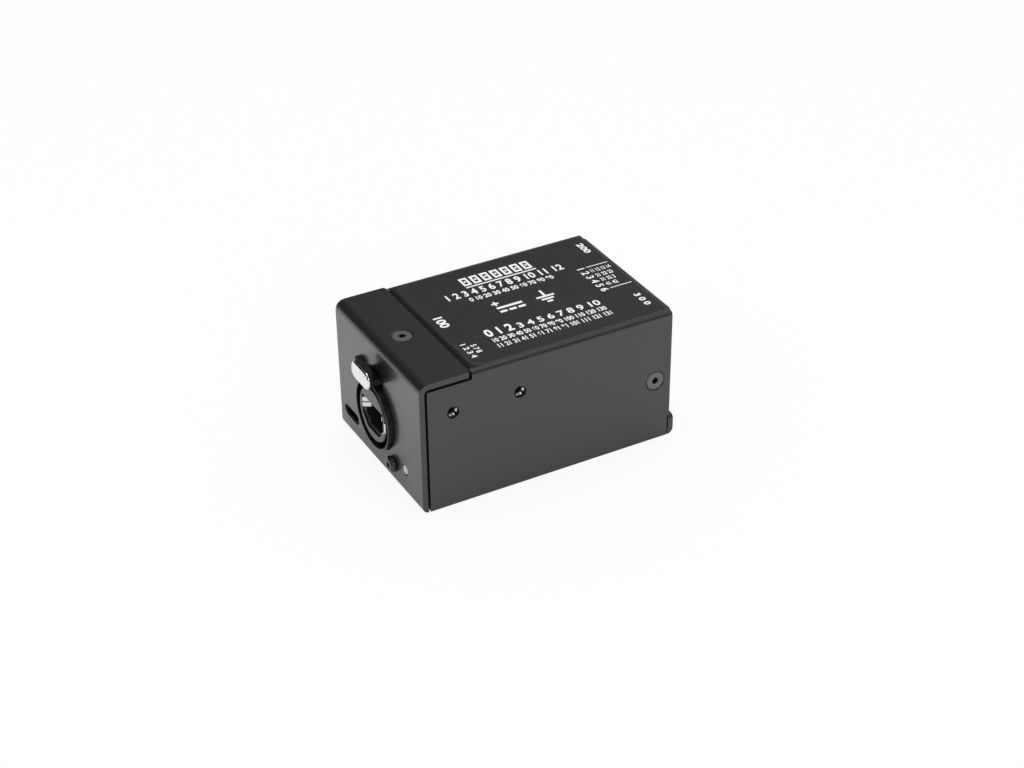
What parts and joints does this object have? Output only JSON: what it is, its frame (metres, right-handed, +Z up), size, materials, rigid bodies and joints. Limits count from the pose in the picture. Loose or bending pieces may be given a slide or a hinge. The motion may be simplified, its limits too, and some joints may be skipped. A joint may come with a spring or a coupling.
{
  "type": "art-net pixel interface",
  "caption": "Small folded steel box that turns network lighting data into pixel tape signals, with a locking network socket, USB-C socket and rear screw terminal.",
  "frame": {"origin": "centre of the case's underside", "axes": "+Z up, -Y towards the network socket's face, +X along the socket face to the side that the picture shows"},
  "size_m": [0.057, 0.0939, 0.045],
  "materials": {
    "black_powder_coat": "fine satin powder coat",
    "black_oxide": "black oxide",
    "zinc_plate": "zinc plate",
    "nickel_shell": "bright nickel",
    "black_nickel": "black nickel",
    "satin_chrome": "satin chrome",
    "gold_plate": "gold flash",
    "black_nylon": "moulded",
    "white_nylon": "moulded",
    "yellow_coating": "dipped",
    "green_terminal": "moulded",
    "board_green": "solder mask",
    "grey_can": "satin",
    "clear_lens": "clear"
  },
  "bodies": {
    "case": {"base_chassis": "black_powder_coat", "cover": "black_powder_coat", "strip_screw": "black_oxide", "strip_nut": "zinc_plate", "side_screw_right": "black_oxide", "side_screw_left": "black_oxide", "ear_nut_right": "zinc_plate", "ear_nut_left": "zinc_plate", "mount_nut_front_right": "zinc_plate", "mount_nut_rear_right": "zinc_plate", "mount_nut_front_left": "zinc_plate", "mount_nut_rear_left": "zinc_plate", "connector_housing": "black_nylon", "connector_insert": "black_nylon", "jack_shield": "nickel_shell", "jack_block": "black_nylon", "jack_contacts": "gold_plate", "connector_screw_lower": "black_oxide", "connector_screw_upper": "black_oxide", "lever_pin": "zinc_plate", "usb_shell": "black_nickel", "usb_tongue": "black_nylon", "front_lamp": "clear_lens", "front_lamp_holder": "white_nylon", "rear_lamp": "clear_lens", "rear_lamp_holder": "white_nylon", "output_terminal": "green_terminal", "power_jack": "black_nylon", "power_pin": "zinc_plate", "main_board": "board_green", "standoff_1": "zinc_plate", "standoff_2": "zinc_plate", "standoff_3": "zinc_plate", "standoff_4": "zinc_plate", "board_screw_1": "zinc_plate", "board_screw_2": "zinc_plate", "board_screw_3": "zinc_plate", "board_screw_4": "zinc_plate", "network_transformer": "black_nylon", "network_chip": "black_nylon", "processor": "black_nylon", "storage_chip": "black_nylon", "power_coil": "grey_can", "resettable_fuse": "yellow_coating", "line_driver": "black_nylon", "crystal": "nickel_shell", "capacitor_front": "grey_can", "capacitor_rear": "grey_can"},
    "push_lever": {"push_lever": "black_nylon", "lever_cap": "satin_chrome"},
    "terminal_screw_1": {"terminal_screw_1": "zinc_plate"},
    "terminal_screw_2": {"terminal_screw_2": "zinc_plate"},
    "terminal_screw_3": {"terminal_screw_3": "zinc_plate"},
    "terminal_screw_4": {"terminal_screw_4": "zinc_plate"}
  },
  "joints": [
    {"name": "lever_press", "type": "hinge", "parent": "case", "child": "push_lever", "pos_m": [-0.0011, -0.0278, 0.0332], "axis": [1, 0, 0], "range_deg": [0, 4], "stiffness_Nm_per_rad": 0.8, "springref_deg": -2.86},
    {"name": "terminal_turn_1", "type": "hinge", "parent": "case", "child": "terminal_screw_1", "pos_m": [-0.00575, 0.0415, 0.01405], "axis": [0, 1, 0], "range_deg": [0, 1080]},
    {"name": "terminal_turn_2", "type": "hinge", "parent": "case", "child": "terminal_screw_2", "pos_m": [-0.00225, 0.0415, 0.01405], "axis": [0, 1, 0], "range_deg": [0, 1080]},
    {"name": "terminal_turn_3", "type": "hinge", "parent": "case", "child": "terminal_screw_3", "pos_m": [0.00125, 0.0415, 0.01405], "axis": [0, 1, 0], "range_deg": [0, 1080]},
    {"name": "terminal_turn_4", "type": "hinge", "parent": "case", "child": "terminal_screw_4", "pos_m": [0.00475, 0.0415, 0.01405], "axis": [0, 1, 0], "range_deg": [0, 1080]}
  ]
}
